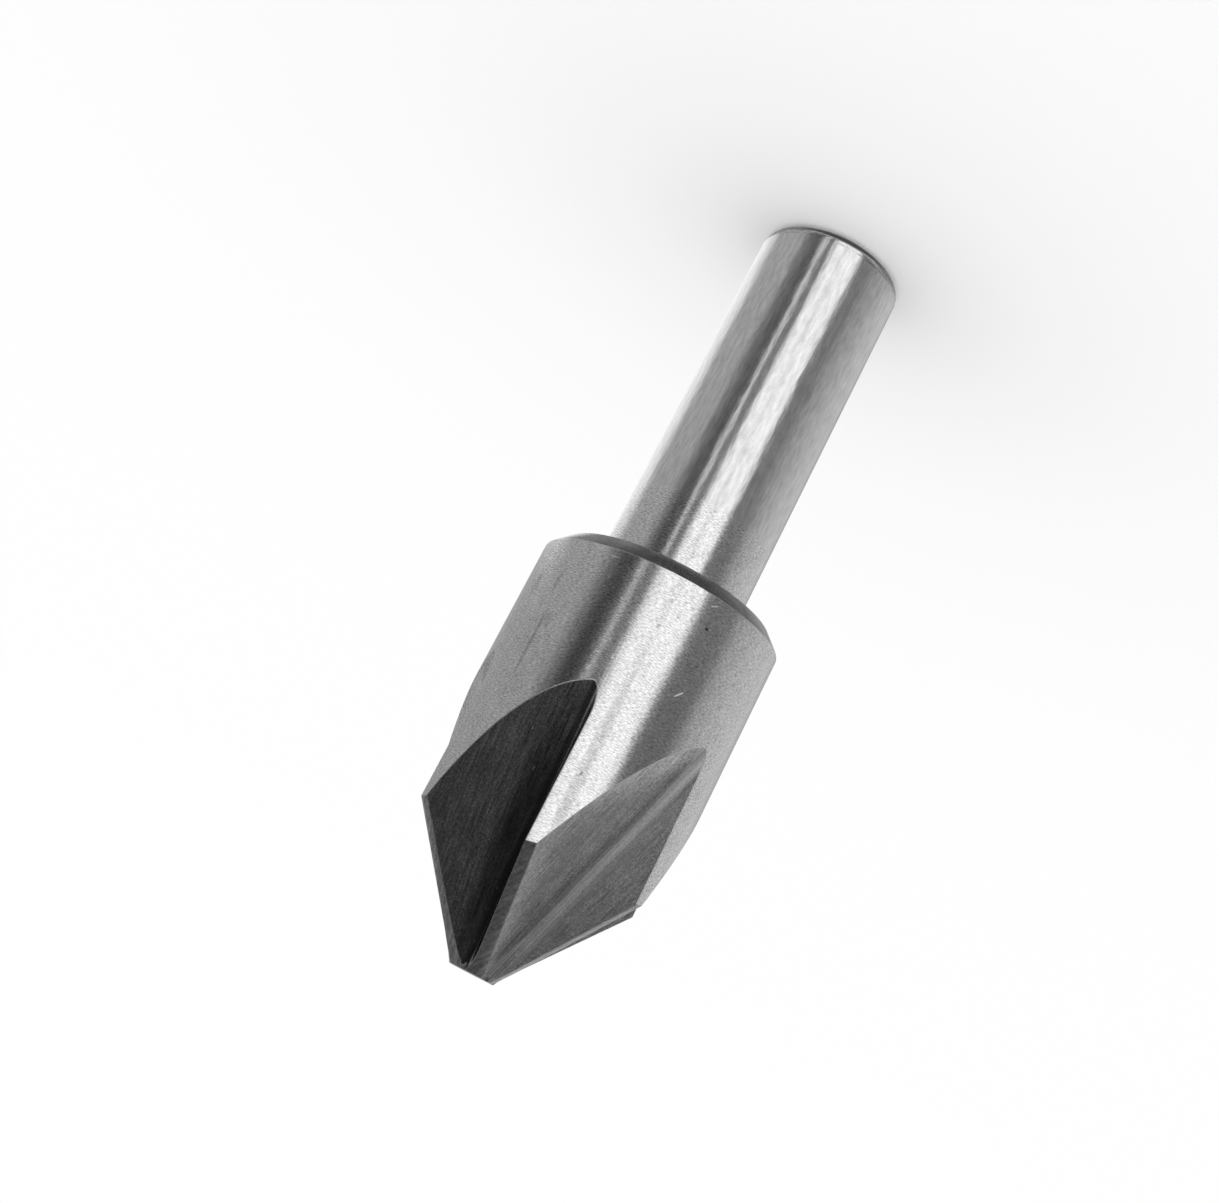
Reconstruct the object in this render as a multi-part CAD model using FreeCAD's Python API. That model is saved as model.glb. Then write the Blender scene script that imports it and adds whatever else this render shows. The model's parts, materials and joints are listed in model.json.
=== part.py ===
import FreeCAD, Part
import math
import os

# Countersink bit with straight flutes, turned and ground from one bar of tool steel.
# Millimetres and degrees. The origin is the centre of the shank's end face, and +Z runs up the
# bit to its nose. The bit cuts turning anticlockwise as seen from the nose, so each tooth leads
# with its cutting edge and its back trails clockwise from it.

# Whole bit
overall_length = 50.8

# Shank, the plain round end that a chuck grips
shank_diameter = 9.525
shank_end_radius = 0.85
neck_fillet = 0.5

# Head
head_length = 25.8
head_diameter = 15.875
head_back_chamfer = 1.0
point_angle = 82.0
nose_diameter = 2.94

# Teeth. The relief is how far the land behind a cutting edge falls away from the cone.
tooth_count = 6
land_relief_angle = 7.5

# Flutes. Each is one straight groove with a rounded root. Its leading wall is a flat rake face
# that holds the axis, and the wall across from it is the back of the tooth in front. The root
# starts beside the nose, at the core's radius, and rises outwards until it leaves the head.
flute_angle = 87.0
flute_rise_angle = 21.1
flute_core_radius = 1.25
flute_root_fillet = 0.75

# Sizes that follow from the ones above
shank_radius = shank_diameter / 2
head_radius = head_diameter / 2
nose_radius = nose_diameter / 2
half_point_angle = math.radians(point_angle / 2)
tooth_pitch = 360.0 / tooth_count
head_back_z = overall_length - head_length
head_wall_z = head_back_z + head_back_chamfer
shoulder_z = overall_length - (head_radius - nose_radius) / math.tan(half_point_angle)
cone_apex_z = overall_length + nose_radius / math.tan(half_point_angle)
cutter_reach = head_diameter

ORIGIN = FreeCAD.Vector(0, 0, 0)
UP = FreeCAD.Vector(0, 0, 1)


def outwards(azimuth):
    """Unit vector straight out from the axis."""
    a = math.radians(azimuth)
    return FreeCAD.Vector(math.cos(a), math.sin(a), 0)


def forwards(azimuth):
    """Unit vector the way that the metal at this azimuth moves when the bit cuts."""
    return outwards(azimuth + 90)


def on_profile(radius, z):
    return FreeCAD.Vector(radius, 0, z)


def arc_about(centre, start, end):
    """The shorter arc from start to end."""
    radius = (start - centre).Length
    to_middle = ((start + end) * 0.5 - centre).normalize()
    return Part.Arc(start, centre + to_middle * radius, end).toShape()


def turned_blank():
    """The bit as it leaves the lathe: shank, neck fillet, head and a plain cone.

    The seam where its round faces close is turned to lie between two teeth."""
    end_centre = on_profile(shank_radius - shank_end_radius, shank_end_radius)
    end_rim = on_profile(shank_radius - shank_end_radius, 0)
    wall_start = on_profile(shank_radius, shank_end_radius)
    wall_end = on_profile(shank_radius, head_back_z - neck_fillet)
    neck_centre = on_profile(shank_radius + neck_fillet, head_back_z - neck_fillet)
    neck_top = on_profile(shank_radius + neck_fillet, head_back_z)
    head_side = [
        neck_top,
        on_profile(head_radius - head_back_chamfer, head_back_z),
        on_profile(head_radius, head_wall_z),
        on_profile(head_radius, shoulder_z),
        on_profile(nose_radius, overall_length),
        on_profile(0, overall_length),
        on_profile(0, 0),
        end_rim,
    ]
    edges = [
        arc_about(end_centre, end_rim, wall_start),
        Part.LineSegment(wall_start, wall_end).toShape(),
        arc_about(neck_centre, wall_end, neck_top),
    ]
    edges += Part.makePolygon(head_side).Edges
    blank = Part.Face(Part.Wire(edges)).revolve(ORIGIN, UP, 360)
    blank.rotate(ORIGIN, UP, tooth_pitch / 2)
    return blank


def relief_cutter(azimuth):
    """What is ground off behind the cutting edge at this azimuth, so that its land clears.

    It is all the space over the sector behind the edge, less the head's own cone tipped about
    that edge by the relief angle."""
    height = cone_apex_z - head_wall_z
    sector = Part.makeCylinder(
        cutter_reach, height, on_profile(0, head_wall_z), UP, tooth_pitch
    )
    sector.rotate(ORIGIN, UP, azimuth - tooth_pitch)
    apex = on_profile(0, cone_apex_z)
    cone_height = 2 * height
    cone = Part.makeCone(0, cone_height * math.tan(half_point_angle), cone_height, apex, -UP)
    down = UP * -math.cos(half_point_angle)
    cutting_edge = outwards(azimuth) * math.sin(half_point_angle) + down
    cone.rotate(apex, cutting_edge, land_relief_angle)
    return sector.cut(cone)


def flute_cutter(azimuth):
    """The straight groove in front of the cutting edge at this azimuth."""
    rise = math.radians(flute_rise_angle)
    opening = math.radians(flute_angle)
    along_root = outwards(azimuth) * math.sin(rise) - UP * math.cos(rise)
    up_rake = outwards(azimuth) * math.cos(rise) + UP * math.sin(rise)
    up_back = up_rake * math.cos(opening) + forwards(azimuth) * math.sin(opening)
    into_flute = (up_rake + up_back).normalize()

    root = outwards(azimuth) * flute_core_radius + UP * overall_length
    root -= along_root * cutter_reach
    to_tangent = flute_root_fillet / math.tan(opening / 2)
    fillet_centre = root + into_flute * (flute_root_fillet / math.sin(opening / 2))
    rake_tangent = root + up_rake * to_tangent
    back_tangent = root + up_back * to_tangent
    rake_top = root + up_rake * cutter_reach * 2
    back_top = root + up_back * cutter_reach * 2
    edges = Part.makePolygon([back_tangent, back_top, rake_top, rake_tangent]).Edges
    edges.append(arc_about(fillet_centre, rake_tangent, back_tangent))
    run_out = (head_radius - flute_core_radius) / math.sin(rise)
    return Part.Face(Part.Wire(edges)).extrude(along_root * (run_out + 2 * cutter_reach))


def countersink_bit():
    bit = turned_blank()
    for tooth in range(tooth_count):
        azimuth = tooth * tooth_pitch
        bit = bit.cut(relief_cutter(azimuth))
        bit = bit.cut(flute_cutter(azimuth))
    return bit.removeSplitter()


def main():
    os.makedirs("parts", exist_ok=True)
    bit = countersink_bit()
    print("solids", len(bit.Solids), "valid", bit.isValid(), "faces", len(bit.Faces))
    print("volume in mm3", round(bit.Volume, 1))
    bit.exportStep("parts/countersink_bit.step")


main()
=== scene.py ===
import json
import math

import bmesh
import bpy
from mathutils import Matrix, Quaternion, Vector


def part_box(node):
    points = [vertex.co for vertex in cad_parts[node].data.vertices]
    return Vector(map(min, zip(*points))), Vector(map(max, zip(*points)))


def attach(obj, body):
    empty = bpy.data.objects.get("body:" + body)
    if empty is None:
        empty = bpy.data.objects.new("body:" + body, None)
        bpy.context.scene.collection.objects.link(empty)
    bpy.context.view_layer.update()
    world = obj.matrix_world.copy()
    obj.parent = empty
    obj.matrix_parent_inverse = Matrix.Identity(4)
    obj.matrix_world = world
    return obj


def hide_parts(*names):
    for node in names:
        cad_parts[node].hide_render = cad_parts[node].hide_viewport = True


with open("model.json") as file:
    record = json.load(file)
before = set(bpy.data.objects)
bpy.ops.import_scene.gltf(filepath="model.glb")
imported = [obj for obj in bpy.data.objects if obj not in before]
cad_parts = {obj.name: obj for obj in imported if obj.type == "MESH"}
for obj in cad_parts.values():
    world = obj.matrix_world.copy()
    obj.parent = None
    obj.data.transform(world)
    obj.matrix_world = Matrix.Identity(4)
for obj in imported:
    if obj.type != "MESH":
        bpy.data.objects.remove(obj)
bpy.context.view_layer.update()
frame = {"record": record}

# Sizes of the bit in millimetres and radians. What the frame holds is read from it, and the
# rest are the same sizes that the solid was made with.
MM = 0.001
bit_low, bit_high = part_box("countersink_bit")
mounts = {mount["name"]: mount for mount in frame["record"]["mounts"]}
overall_length = bit_high.z / MM
head_radius = (bit_high.x - bit_low.x) / MM / 2
shank_radius = mounts["shank"]["dims"]["r_mm"]
shank_end_radius = 0.85
neck_fillet = 0.5
head_length = 25.8
head_back_chamfer = 1.0
half_point_angle = math.radians(41.0)
nose_radius = 1.47
tooth_count = 6
land_relief_angle = math.radians(7.5)
flute_angle = math.radians(87.0)
flute_rise_angle = math.radians(21.1)
flute_core_radius = 1.25
flute_root_fillet = 0.75

tooth_pitch = 2 * math.pi / tooth_count
head_back_z = overall_length - head_length
shoulder_z = overall_length - (head_radius - nose_radius) / math.tan(half_point_angle)
cone_apex_z = overall_length + nose_radius / math.tan(half_point_angle)
cutter_reach = 2 * head_radius

# What the finish adds to the shape: the width of a worn edge, where the shank's smooth part
# ends, the angle of the grinding lines on a land, from its cutting edge, half the width of the
# rounded root on a flute's grain map, and how far apart that map's flutes lie
worn_edge = 0.045
smooth_shank_z = 20.2
land_grinding_angle = math.radians(33)
root_half_width = 0.6
flute_map_spacing = 100

# Painted shade in the root of one flute: that flute's azimuth, how far from the nose and up the
# back wall the middle of the darkened patch lies, its length and width, and how much it darkens
shaded_flute = -tooth_pitch
shade_from_nose = 8.0
shade_up_wall = 0.9
shade_length = 15.5
shade_width = 2.2
shade_darkening = 0.62

# A step from the first to the second of these leaves only the few highest spots of a noise
high_spots = (0.66, 0.74)

# How finely the round shapes are divided, and the smallest turn at an edge that is worn
turned_steps = 240
corner_steps = 6
flute_root_steps = 14
relief_steps = 24
sharp_turn = math.radians(20)

UP = Vector((0, 0, 1))


def outwards(azimuth):
    return Vector((math.cos(azimuth), math.sin(azimuth), 0))


def flute_root(azimuth):
    """Where the root of the flute at azimuth starts, the way it runs and the way up its rake."""
    out = outwards(azimuth)
    along_root = out * math.sin(flute_rise_angle) - UP * math.cos(flute_rise_angle)
    up_rake = out * math.cos(flute_rise_angle) + UP * math.sin(flute_rise_angle)
    return out * flute_core_radius + UP * overall_length, along_root, up_rake


# Shader maths


class Value:
    """One output of a node. Arithmetic on it adds Math nodes beside it."""

    def __init__(self, graph, socket):
        self.graph = graph
        self.socket = socket

    def __add__(self, other):
        return self.graph.maths("ADD", self, other)

    __radd__ = __add__

    def __sub__(self, other):
        return self.graph.maths("SUBTRACT", self, other)

    def __rsub__(self, other):
        return self.graph.maths("SUBTRACT", other, self)

    def __mul__(self, other):
        return self.graph.maths("MULTIPLY", self, other)

    __rmul__ = __mul__


class Graph:
    """A node tree that is being written."""

    def __init__(self, owner):
        owner.use_nodes = True
        self.tree = owner.node_tree
        self.tree.nodes.clear()

    def node(self, kind, settings=None, inputs=None, output=0):
        made = self.tree.nodes.new(kind)
        for name, setting in (settings or {}).items():
            setattr(made, name, setting)
        for key, value in (inputs or {}).items():
            if isinstance(value, Value):
                self.tree.links.new(value.socket, made.inputs[key])
            else:
                made.inputs[key].default_value = value
        return Value(self, made.outputs[output]) if made.outputs else made

    def maths(self, operation, *terms):
        return self.node("ShaderNodeMath", {"operation": operation}, dict(enumerate(terms)))

    def parts(self, vector):
        """The three parts of a vector."""
        first = self.node("ShaderNodeSeparateXYZ", None, {0: vector})
        return [Value(self, socket) for socket in first.socket.node.outputs]

    def step(self, value, start, end):
        """0 before start, 1 after end and a smooth rise between them."""
        inputs = {"Value": value, "From Min": start, "From Max": end}
        return self.node("ShaderNodeMapRange", {"interpolation_type": "SMOOTHSTEP"}, inputs)

    def between(self, value, low, high, softness):
        """1 from low to high and 0 outside, with soft ends centred on them."""
        half = softness / 2
        above = self.step(value, low - half, low + half)
        return above * self.step(value, high + half, high - half)

    def blend(self, mask, low, high):
        """low where mask is 0 and high where it is 1."""
        return low + (high - low) * mask

    def noise(self, place, size, detail=2.0, roughness=0.55):
        """Noise about 0, most of it within 0.5 either way. Size is that of its spots along
        each axis of place."""
        scale = [1 / side for side in size]
        stretched = self.node("ShaderNodeMapping", None, {"Vector": place, "Scale": scale})
        inputs = {"Vector": stretched, "Scale": 1.0, "Detail": detail, "Roughness": roughness}
        return (self.node("ShaderNodeTexNoise", None, inputs) - 0.5) * 2

    def vectors(self, operation, first, second=(0, 0, 0), output="Vector"):
        inputs = {0: first, 1: second}
        return self.node("ShaderNodeVectorMath", {"operation": operation}, inputs, output)

    def mark(self, place, middle, way, length, width, softness=0.6):
        """1 on a long mark with soft sides that lies along way about middle, and 0 off it."""
        offset = self.vectors("SUBTRACT", place, middle)
        along = self.vectors("DOT_PRODUCT", offset, way, "Value") * (2 / length)
        aside = self.vectors("CROSS_PRODUCT", offset, way)
        across = self.vectors("LENGTH", aside, output="Value") * (2 / width)
        return self.step(along * along + across * across, 1 + softness, 1 - softness)

    def steel(self, tone, roughness, relief):
        """Bare steel. Tone is the part of the light that it returns, and relief is the height
        of its surface in micrometres."""
        colour = self.node(
            "ShaderNodeMix", {"data_type": "RGBA"},
            {0: tone, 6: (0, 0, 0, 1), 7: (1, 1, 1, 1)}, output=2,
        )
        bump = self.node(
            "ShaderNodeBump", None, {"Strength": 1.0, "Distance": 1e-6, "Height": relief}
        )
        shader = self.node(
            "ShaderNodeBsdfPrincipled", None,
            {"Base Color": colour, "Metallic": 1.0, "Roughness": roughness, "Normal": bump},
        )
        self.node("ShaderNodeOutputMaterial", None, {"Surface": shader})


# Finishes. The map called grain runs along the grinding lines in U and across them in V, in
# millimetres.


def new_finish(name):
    material = bpy.data.materials.new(name)
    graph = Graph(material)
    grain = graph.node("ShaderNodeUVMap", {"uv_map": "grain"})
    place = graph.node("ShaderNodeTexCoord", output="Object")
    return material, graph, grain, place


# Marks on the head's round wall. Each has its azimuth in degrees and its height, its length and
# width, its tilt up from the level in degrees, and how much it lightens the steel.
HEAD_MARKS = [
    (-87.4, 27.95, 0.20, 0.18, 0, -0.45),
    (-67.8, 38.70, 0.30, 0.12, 70, -0.30),
    (-89.5, 32.05, 0.65, 0.09, 49, 0.35),
    (-50.7, 33.10, 0.45, 0.13, 60, 0.35),
    (-51.0, 32.10, 0.40, 0.12, 10, 0.35),
    (-50.5, 26.90, 0.55, 0.10, 80, 0.35),
    (-38.0, 26.50, 0.50, 0.09, 10, 0.25),
    (-86.0, 26.55, 0.50, 0.08, 30, 0.16),
    (-19.4, 33.00, 3.80, 0.28, 90, -0.16),
    (-21.0, 31.30, 1.10, 0.90, 90, -0.07),
    (-17.0, 28.90, 1.50, 0.35, 88, -0.12),
    (-2.0, 29.20, 1.80, 0.60, 88, -0.14),
    (-68.2, 38.00, 10.0, 0.75, 90, -0.09),
]


def round_ground():
    """The head and the shank, ground round, with the shank's lower part rubbed smooth along
    its length."""
    material, graph, grain, place = new_finish("round_ground")
    speckle = graph.noise(grain, (0.26, 0.065, 1), 2.0, 0.8)
    dashes = graph.noise(grain, (0.36, 0.075, 1), 1.0)
    mottling = graph.noise(place, (2.2 * MM,) * 3, 3.0)
    streaks = graph.noise(grain, (0.24, 1.1, 1), 2.0)
    waves = graph.noise(grain, (0.8, 3.5, 1), 2.0)
    height = graph.parts(place)[2] * (1 / MM)
    ragged = height + speckle * 0.4
    smooth = graph.step(ragged, smooth_shank_z + 0.2, smooth_shank_z - 0.2)
    coarse = 1 - smooth
    nicks = graph.step(graph.noise(grain, (0.7, 0.25, 1), 0.0), *high_spots) * coarse
    pits = graph.step(graph.noise(place, (0.45 * MM,) * 3, 0.0), -0.64, -0.72) * coarse
    stains = graph.noise(place, (0.6 * MM,) * 3, 3.0, 0.7)
    tone = 0.58 + speckle * graph.blend(smooth, 0.74, 0.08) + mottling * 0.06
    tone += stains * (coarse * 0.13)
    tone += streaks * (smooth * 0.20) + nicks * 0.14 - pits * 0.10
    end_line = graph.between(height, shank_end_radius - 0.02, shank_end_radius + 0.10, 0.08)
    tone -= end_line * (0.12 + streaks * 0.5)
    # Painted highlight: the rounded end of the shank is lightened
    painted_end_highlight = graph.step(height, 0.80, 0.45)
    tone += painted_end_highlight * 0.16
    roughness = 0.15 + mottling * 0.02 + speckle * (coarse * 0.06) + nicks * 0.1
    for azimuth, middle_z, length, width, tilt, lightening in HEAD_MARKS:
        azimuth, tilt = math.radians(azimuth), math.radians(tilt)
        middle = outwards(azimuth) * head_radius + UP * middle_z
        way = outwards(azimuth + math.pi / 2) * math.cos(tilt) + UP * math.sin(tilt)
        mark = graph.mark(place, middle * MM, way, length * MM, width * MM)
        tone += mark * (1 + speckle * 1.5) * lightening
        roughness += mark * max(lightening, 0) * 1.4
    relief = dashes * (coarse * 3.0) + (streaks * 1.5 + waves * 9.0) * smooth
    graph.steel(tone, roughness, relief)
    return material


def turned_faces():
    """The chamfer behind the head and the flat end faces, with their turning lines."""
    material, graph, grain, place = new_finish("turned_faces")
    lines = graph.noise(grain, (2.0, 0.16, 1), 2.0, 0.6)
    mottling = graph.noise(place, (0.5 * MM,) * 3, 4.0, 0.7)
    graph.steel(0.56 + lines * 0.25 + mottling * 0.25, 0.25 + mottling * 0.08, lines * 2.0)
    return material


def relieved_lands():
    """The narrow lands behind the cutting edges."""
    material, graph, grain, place = new_finish("relieved_lands")
    lines = graph.noise(grain, (2.2, 0.20, 1), 3.0, 0.7)
    mottling = graph.noise(place, (0.3 * MM,) * 3, 3.0, 0.7)
    graph.steel(0.56 + lines * 0.66 + mottling * 0.30, 0.28 + mottling * 0.05, lines * 4.0)
    return material


# Painted shade and painted highlights in bands that run along a flute, in and beside its root,
# darker and lighter in turn. Each has where it starts and ends across the flute, from the back
# wall's side to the rake's, its softness and how much it lightens.
ROOT_SHADE_AND_HIGHLIGHTS = [
    (-1.90, -0.85, 0.80, -0.10),
    (-0.60, -0.20, 0.25, -0.06),
    (-0.12, 0.12, 0.16, 0.08),
    (0.20, 0.55, 0.25, -0.14),
    (0.72, 1.25, 0.30, 0.09),
]


def wheel_lines(graph, grain, along, across, wall):
    """The lines that the wheel left in a flute: arcs on its walls, which lean over as they run
    up from the nose, and straight along its root."""
    from_nose = graph.maths("MODULO", along, flute_map_spacing) - cutter_reach
    facing = graph.step(across, -root_half_width, root_half_width) * 2 - 1
    lean = from_nose * (0.14 - from_nose * 0.005) * facing
    arcs = graph.node("ShaderNodeCombineXYZ", None, {0: along, 1: across - lean})
    wall_lines = graph.noise(arcs, (2.4, 0.13, 1), 2.0, 0.6)
    root_lines = graph.noise(grain, (3.5, 0.16, 1), 2.0, 0.6)
    return graph.blend(wall, root_lines * 0.5, wall_lines)


def painted_root_shade(graph, place):
    """1 on the painted shade in the root of its flute, and 0 off it."""
    root, along_root, up_rake = flute_root(shaded_flute)
    over = outwards(shaded_flute + math.pi / 2)
    up_wall = up_rake * math.cos(flute_angle) + over * math.sin(flute_angle)
    middle = (root + along_root * shade_from_nose + up_wall * shade_up_wall) * MM
    way = (along_root + up_wall * 0.06).normalized()
    return graph.mark(place, middle, way, shade_length * MM, shade_width * MM, 1.0)


def flute_walls():
    """The rake faces, the backs of the teeth and the roots between them."""
    material, graph, grain, place = new_finish("flute_walls")
    along, across, _ = graph.parts(grain)
    wall = 1 - graph.between(across, -0.75, 0.75, 0.5)
    lines = wheel_lines(graph, grain, along, across, wall)
    patches = graph.noise(grain, (2.0, 1.0, 1), 3.0, 0.6)
    specks = graph.noise(place, (0.13 * MM,) * 3, 2.0)
    scuffs = graph.step(graph.noise(grain, (1.6, 0.6, 1), 3.0, 0.75), 0.10, 0.55) * wall
    nicks = graph.step(graph.noise(grain, (0.7, 0.25, 1), 0.0), *high_spots)
    tone = 0.57 + lines * 0.38 + patches * 0.16 + specks * graph.blend(wall, 0.20, 0.50)
    tone += nicks * 0.15 + scuffs * (0.06 + specks * 0.35)
    # Painted shade and painted highlights along each root
    for low, high, softness, lightening in ROOT_SHADE_AND_HIGHLIGHTS:
        tone += graph.between(across, low, high, softness) * lightening
    # Painted shade: the rake face darkens outwards, away from the root
    outer_rake_shade = graph.step(across, 1.0, 3.4)
    tone -= outer_rake_shade * 0.08
    # Painted shade darkens the root of one flute
    tone *= 1 - painted_root_shade(graph, place) * shade_darkening
    roughness = 0.21 + patches * 0.05 + lines * 0.08 + nicks * 0.15
    graph.steel(tone, roughness, lines * graph.blend(wall, 1.0, 5.0) + specks)
    return material


def rubbed_and_highlit_edges():
    """The narrow strip along each edge, a little brighter: rubbed wear and a painted highlight."""
    material, graph, _, place = new_finish("rubbed_and_highlit_edges")
    wear = graph.noise(place, (0.5 * MM,) * 3, 3.0)
    graph.steel(0.64 + wear * 0.28, 0.40 + wear * 0.1, wear)
    return material


FINISHES = [round_ground(), turned_faces(), relieved_lands(), flute_walls(), rubbed_and_highlit_edges()]
ROUND, TURNED, LAND, FLUTE, EDGE = range(len(FINISHES))


# The bit: turned, relieved and fluted


def as_object(bm, name, materials):
    mesh = bpy.data.meshes.new(name)
    bm.to_mesh(mesh)
    bm.free()
    for material in materials:
        mesh.materials.append(material)
    made = bpy.data.objects.new(name, mesh)
    bpy.context.scene.collection.objects.link(made)
    return made


def in_order(bm):
    """Puts edges and faces in the order of their corners. Spin and extrude leave them in an
    order that changes from run to run, and the cuts and worn edges would change with it."""
    bm.verts.index_update()
    count = len(bm.verts)

    def corner_order(part):
        corners = sorted(corner.index for corner in part.verts)
        return (corners[0] * count + corners[1]) * count + corners[-1]

    bm.edges.sort(key=corner_order)
    bm.faces.sort(key=corner_order)


def closed(bm, name, grain_at):
    """The closed shape in bm as an object, with its grain map. grain_at gives the grain's U
    and V at a place, on a face with a given centre."""
    bmesh.ops.remove_doubles(bm, verts=bm.verts, dist=1e-4)
    bmesh.ops.recalc_face_normals(bm, faces=bm.faces)
    in_order(bm)
    grain = bm.loops.layers.uv.new("grain")
    for face in bm.faces:
        centre = face.calc_center_median()
        for loop in face.loops:
            loop[grain].uv = grain_at(loop.vert.co, centre)
    return as_object(bm, name, FINISHES)


def rounded(centre, start, axis, angle):
    """Points of the arc that starts at start and turns about an axis through centre."""
    return [
        centre + Quaternion(axis, angle * i / corner_steps) @ (start - centre)
        for i in range(corner_steps + 1)
    ]


def turned_blank():
    bm = bmesh.new()
    end_centre = Vector((shank_radius - shank_end_radius, 0, shank_end_radius))
    neck_centre = Vector((shank_radius + neck_fillet, 0, head_back_z - neck_fillet))
    sideways = Vector((0, 1, 0))
    profile = [
        Vector((0, 0, 0)),
        *rounded(end_centre, end_centre - UP * shank_end_radius, sideways, -math.pi / 2),
        *rounded(neck_centre, neck_centre - Vector((neck_fillet, 0, 0)), sideways, math.pi / 2),
        Vector((head_radius - head_back_chamfer, 0, head_back_z)),
        Vector((head_radius, 0, head_back_z + head_back_chamfer)),
        Vector((head_radius, 0, shoulder_z)),
        Vector((nose_radius, 0, overall_length)),
        Vector((0, 0, overall_length)),
    ]
    points = [bm.verts.new(place) for place in profile]
    lines = [bm.edges.new(pair) for pair in zip(points, points[1:])]
    bmesh.ops.spin(
        bm, geom=points + lines, cent=(0, 0, 0), axis=UP, angle=2 * math.pi,
        steps=turned_steps, use_merge=True,
    )
    for face in bm.faces:
        centre = face.calc_center_median()
        on_head_wall = math.hypot(centre.x, centre.y) > head_radius - 0.01
        on_shank = 0.01 < centre.z < head_back_z - 0.01
        face.material_index = ROUND if on_head_wall or on_shank else TURNED

    def grain_at(place, centre):
        radius = math.hypot(place.x, place.y)
        middle = math.atan2(centre.y, centre.x)
        aside = math.atan2(place.y, place.x) - middle if radius > 1e-3 else 0
        aside = (aside + math.pi) % (2 * math.pi) - math.pi
        return (middle + aside) * math.hypot(centre.x, centre.y), place.z - radius

    return closed(bm, "bit", grain_at)


def relief_cutter(azimuth):
    """The space outside the head's cone once it is tipped about the cutting edge at azimuth,
    over most of a pitch behind that edge."""
    bm = bmesh.new()
    apex = UP * cone_apex_z
    down = UP * -math.cos(half_point_angle)
    cutting_edge = outwards(azimuth) * math.sin(half_point_angle) + down
    cone_axis = Quaternion(cutting_edge, land_relief_angle) @ -UP
    outside = (cutting_edge - cone_axis * cutting_edge.dot(cone_axis)).normalized()
    behind = cone_axis.cross(outside)
    along, across = cutting_edge * cutter_reach, outside * cutter_reach
    corners = [apex, apex + along, apex + along + across, apex + across]
    face = bm.faces.new([bm.verts.new(corner) for corner in corners])
    bmesh.ops.spin(
        bm, geom=[face, *face.edges, *face.verts], cent=apex, axis=cone_axis,
        angle=0.75 * tooth_pitch, steps=relief_steps,
    )
    for face in bm.faces:
        face.material_index = LAND

    def grain_at(place, centre):
        reach = place - apex
        slant = reach.length
        turn = math.atan2(reach.dot(behind), reach.dot(outside))
        back = turn * slant * math.sin(half_point_angle)
        cosine, sine = math.cos(land_grinding_angle), math.sin(land_grinding_angle)
        return slant * cosine + back * sine, back * cosine - slant * sine

    return closed(bm, "relief_cutter", grain_at)


def flute_cutter(azimuth):
    """The straight groove in front of the tooth at azimuth, with its rounded root."""
    bm = bmesh.new()
    across = outwards(azimuth + math.pi / 2)
    root, along_root, up_rake = flute_root(azimuth)
    root -= along_root * cutter_reach

    def in_section(angle, distance):
        return root + (up_rake * math.cos(angle) + across * math.sin(angle)) * distance

    centre = in_section(flute_angle / 2, flute_root_fillet / math.sin(flute_angle / 2))
    tangent = in_section(0, flute_root_fillet / math.tan(flute_angle / 2)) - centre
    turn = math.pi - flute_angle
    fillet = [
        centre + Quaternion(along_root, turn * i / flute_root_steps) @ tangent
        for i in range(flute_root_steps + 1)
    ]
    corners = [*fillet, in_section(flute_angle, 2 * cutter_reach), in_section(0, 2 * cutter_reach)]
    face = bm.faces.new([bm.verts.new(corner) for corner in corners])
    run_out = (head_radius - flute_core_radius) / math.sin(flute_rise_angle)
    grown = bmesh.ops.extrude_face_region(bm, geom=[face])["geom"]
    far_end = [part for part in grown if isinstance(part, bmesh.types.BMVert)]
    bmesh.ops.translate(bm, verts=far_end, vec=along_root * (run_out + 2 * cutter_reach))
    for face in bm.faces:
        face.material_index = FLUTE

    def grain_at(place, face_centre):
        from_root = place - root
        up, over = from_root.dot(up_rake), from_root.dot(across)
        side = 1 - 2 * math.atan2(over, up) / flute_angle
        apart = flute_map_spacing * round(azimuth / tooth_pitch)
        return from_root.dot(along_root) + apart, math.hypot(up, over) * side

    return closed(bm, "flute_cutter", grain_at)


def cut(piece, cutter):
    modifier = piece.modifiers.new("cut", "BOOLEAN")
    modifier.operation = "DIFFERENCE"
    modifier.solver = "EXACT"
    modifier.object = cutter
    bpy.context.view_layer.update()
    evaluated = piece.evaluated_get(bpy.context.evaluated_depsgraph_get())
    mesh = bpy.data.meshes.new_from_object(evaluated)
    piece.modifiers.clear()
    piece.data, uncut = mesh, piece.data
    bpy.data.meshes.remove(uncut)
    bpy.data.objects.remove(cutter)


def countersink_bit():
    piece = turned_blank()
    for tooth in range(tooth_count):
        cut(piece, relief_cutter(tooth * tooth_pitch))
        cut(piece, flute_cutter(tooth * tooth_pitch))
    bm = bmesh.new()
    bm.from_mesh(piece.data)
    bmesh.ops.remove_doubles(bm, verts=bm.verts, dist=2e-3)
    bmesh.ops.dissolve_degenerate(bm, edges=bm.edges, dist=1e-4)
    corners = [edge for edge in bm.edges if edge.calc_face_angle(0) > sharp_turn]
    made = bmesh.ops.bevel(
        bm, geom=corners, offset=worn_edge, offset_type="OFFSET", affect="EDGES", segments=2,
        profile=0.5, material=-1, clamp_overlap=False,
    )
    for face in made["faces"]:
        at_head_back = face.calc_center_median().z < head_back_z + head_back_chamfer + 0.1
        face.material_index = TURNED if at_head_back else EDGE
    bmesh.ops.scale(bm, verts=bm.verts, vec=(MM, MM, MM))
    bm.to_mesh(piece.data)
    bm.free()
    piece.data.shade_smooth()
    weighted = piece.modifiers.new("weighted", "WEIGHTED_NORMAL")
    weighted.keep_sharp = True
    return piece


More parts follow.
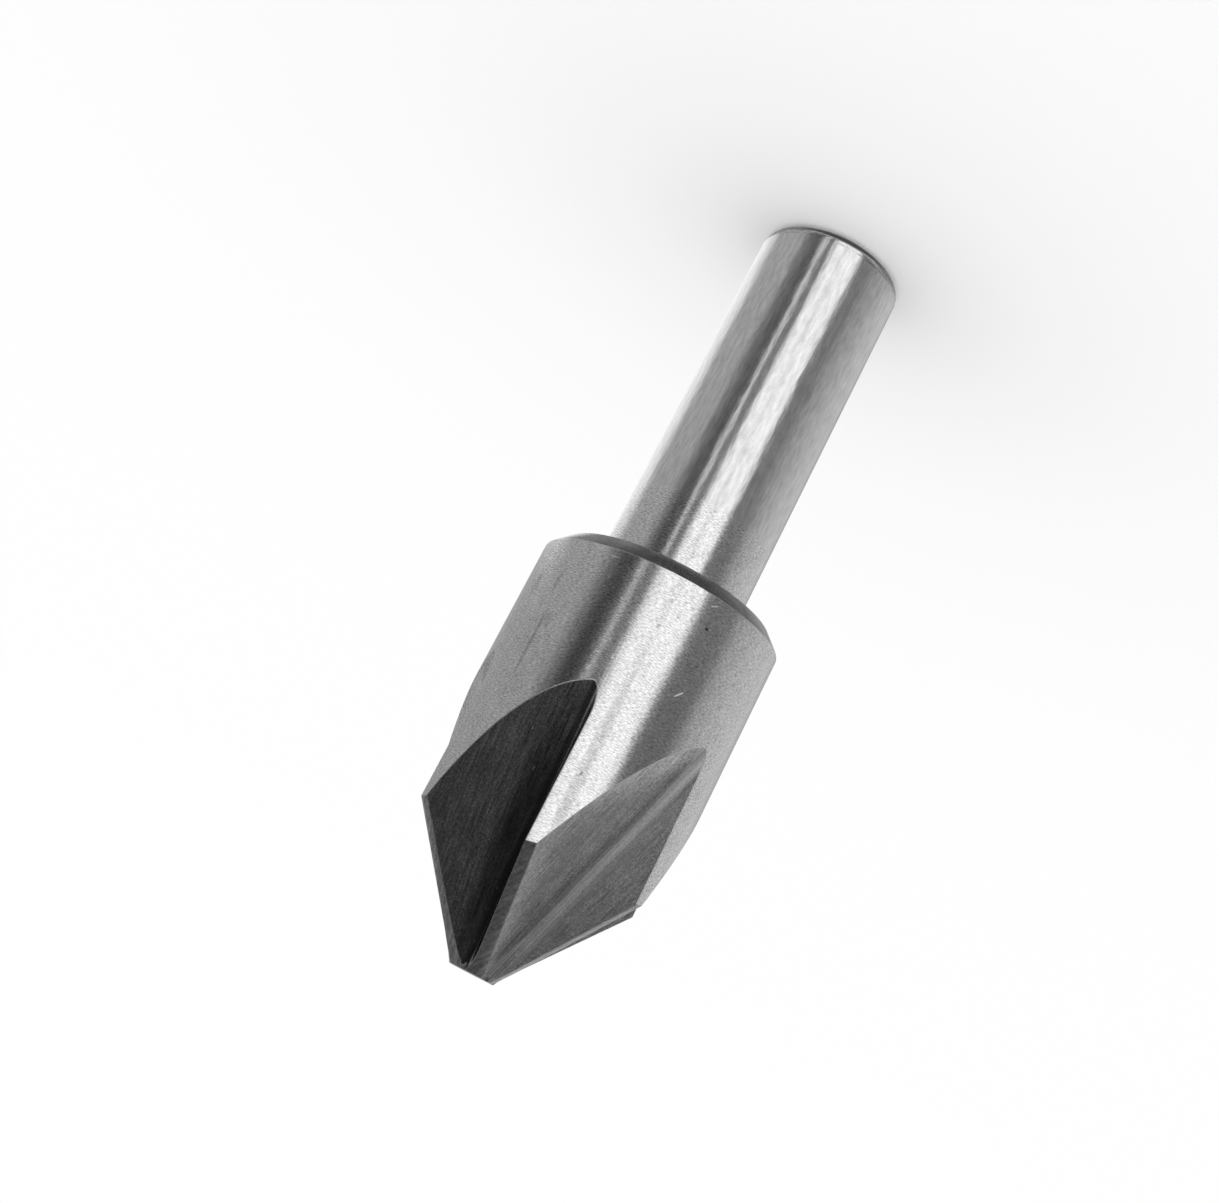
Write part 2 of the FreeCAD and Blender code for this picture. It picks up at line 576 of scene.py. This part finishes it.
# The studio. The camera's place and its aim are given about the bit's axis, in millimetres and
# radians.
camera_azimuth = math.radians(-65.12)
camera_distance = 96.89 * MM
camera_height = 52.66 * MM
aim_height = 27.19 * MM
aim_beside_axis = 2.86 * MM
aim_azimuth = math.radians(23.19)
camera_roll = math.radians(-152.46)
lens_length = 48.0


def place_camera():
    camera = bpy.data.objects.new("camera", bpy.data.cameras.new("camera"))
    bpy.context.scene.collection.objects.link(camera)
    bpy.context.scene.camera = camera
    camera.location = outwards(camera_azimuth) * camera_distance + UP * camera_height
    aim = outwards(aim_azimuth) * aim_beside_axis + UP * aim_height
    upright = (aim - camera.location).to_track_quat("-Z", "Y")
    camera.rotation_mode = "QUATERNION"
    camera.rotation_quaternion = upright @ Quaternion((0, 0, 1), camera_roll)
    camera.data.lens = lens_length
    camera.data.clip_start = 5 * MM


# Cards of the light tent. Each has its azimuths from and to and their softness, its elevations
# from and to and their softness, and its brightness. They are in degrees, the azimuths from the
# camera's side of the bit. A later card hides an earlier one.
ALL_ROUND = (-400, 400, 1)
TENT = 0.72
CARDS = [
    # The walls, and the roof, which darkens upwards
    ((-90, 170, 60), (-90, 90, 1), 0.46),
    (ALL_ROUND, (6, 100, 12), 0.48),
    ((-400, -135, 30), (6, 30, 12), 0.52),
    ((135, 400, 30), (6, 30, 12), 0.52),
    (ALL_ROUND, (32, 100, 14), 0.24),
    (ALL_ROUND, (60, 100, 16), 0.10),
    # The table, which darkens downwards
    (ALL_ROUND, (-100, -31, 6), 0.38),
    (ALL_ROUND, (-100, -40, 8), 0.25),
    (ALL_ROUND, (-100, -55, 8), 0.13),
    (ALL_ROUND, (-100, -65, 8), 0.08),
    ((-80, 80, 30), (-61, -37, 6), 0.52),
    # Behind the bit
    ((-400, -154, 24), (-34, 4, 10), 0.45),
    ((150, 400, 24), (-18, 4, 6), 0.47),
    ((118, 240, 36), (-29.5, -16, 2), 1.20),
    ((150, 400, 6), (-60, -30, 3), 0.28),
    # The dark sheet on one side of the window
    ((-70, -31, 18), (-19, 4, 5), 0.20),
    ((-61, -31, 20), (-52, -19, 5), 0.28),
    # The window and the bar in it
    ((-32, 15.5, 9), (-52, 4, 10), 1.45),
    ((-9, -4.5, 4), (-52, 4, 10), 1.12),
    # The dark sheets on the other side, with a gap between them, and what is below and beyond them
    ((14.5, 62, 20), (-52, 4, 10), 0.17),
    ((16, 26, 3), (-52, 4, 10), 0.22),
    ((26, 31.5, 3), (-52, 4, 10), 0.62),
    ((37, 51, 8), (-52, 4, 10), 0.06),
    ((15, 26, 3), (-52, -18, 5), 0.26),
    ((26, 31.5, 3), (-52, -18, 5), 1.00),
    ((37, 48, 8), (-52, -18, 5), 0.16),
    ((48, 64, 14), (-52, -18, 5), 0.25),
    ((62, 116, 14), (-42, -18, 4), 0.54),
    # What the flutes and the lands see above the level
    ((8.5, 14, 4), (8, 18, 4), 0.60),
    ((-9, 42, 12), (20.5, 60, 8), 0.14),
    ((16.5, 60, 6), (12.5, 40, 4), 0.10),
    ((-142, -80, 16), (19, 60, 10), 0.20),
    ((-80, -56, 10), (27, 60, 8), 0.17),
    ((104, 142, 10), (28, 52, 8), 0.15),
    ((-30, 42, 16), (23.5, 60, 9), 0.044),
    ((36, 112, 12), (9, 40, 8), 0.018),
    ((22, 112, 12), (22, 42, 8), 0.018),
]


def light_tent():
    world = bpy.data.worlds.new("light_tent")
    bpy.context.scene.world = world
    world.cycles.sampling_method = "NONE"
    graph = Graph(world)
    direction = graph.node("ShaderNodeTexCoord", output="Generated")
    turned = graph.node(
        "ShaderNodeVectorRotate", {"rotation_type": "Z_AXIS"},
        {"Vector": direction, "Angle": -camera_azimuth},
    )
    x, y, z = graph.parts(turned)
    azimuth = graph.maths("DEGREES", graph.maths("ARCTAN2", y, x))
    elevation = graph.maths("DEGREES", graph.maths("ARCSINE", z))
    brightness = TENT
    for (left, right, side_softness), (low, high, softness), level in CARDS:
        card = graph.between(azimuth, left, right, side_softness)
        card *= graph.between(elevation, low, high, softness)
        brightness = graph.blend(card, brightness, level)
    glossy = graph.node("ShaderNodeLightPath", output="Is Glossy Ray")
    strength = graph.blend(glossy, 1.0, brightness)
    background = graph.node(
        "ShaderNodeBackground", None, {"Color": (1, 1, 1, 1), "Strength": strength}
    )
    graph.node("ShaderNodeOutputWorld", None, {"Surface": background})


def lay_floor():
    bm = bmesh.new()
    bmesh.ops.create_circle(bm, cap_ends=True, radius=1.0, segments=128)
    material = bpy.data.materials.new("white_floor")
    graph = Graph(material)
    shader = graph.node("ShaderNodeBsdfDiffuse", None, {"Color": (0.995, 0.995, 0.995, 1)})
    graph.node("ShaderNodeOutputMaterial", None, {"Surface": shader})
    floor = as_object(bm, "floor", [material])
    floor.visible_glossy = False


bit = countersink_bit()
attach(bit, "root")
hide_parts("countersink_bit")

place_camera()
light_tent()
lay_floor()
bpy.context.scene.view_settings.view_transform = "Standard"
